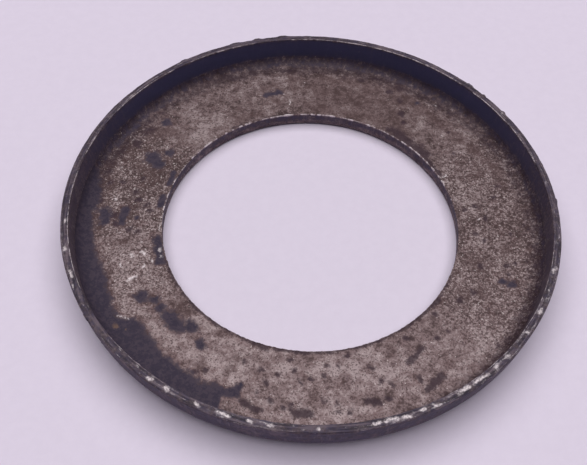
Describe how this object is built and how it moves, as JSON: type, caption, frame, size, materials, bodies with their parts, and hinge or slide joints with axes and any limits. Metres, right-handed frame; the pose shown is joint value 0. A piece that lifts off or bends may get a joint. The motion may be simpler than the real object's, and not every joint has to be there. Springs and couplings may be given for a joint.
{
  "type": "cup washer",
  "caption": "Pressed sheet-steel cup washer: a flat ring with a large central bore and a short thin rim turned up all round, dish side up.",
  "frame": {"origin": "on the washer's axis, at the level of the flat underside that it lies on", "axes": "+Z along the axis, from the flat underside towards the open side of the dish; X and Y are any two directions square to it"},
  "size_m": [0.049, 0.049, 0.0049],
  "materials": {
    "steel": "bare pressed steel, worn and mottled grey-brown, oil and rust stained, rubbed bright on the rim's edge"
  },
  "bodies": {
    "root": {"cup_washer": "steel"}
  },
  "joints": []
}
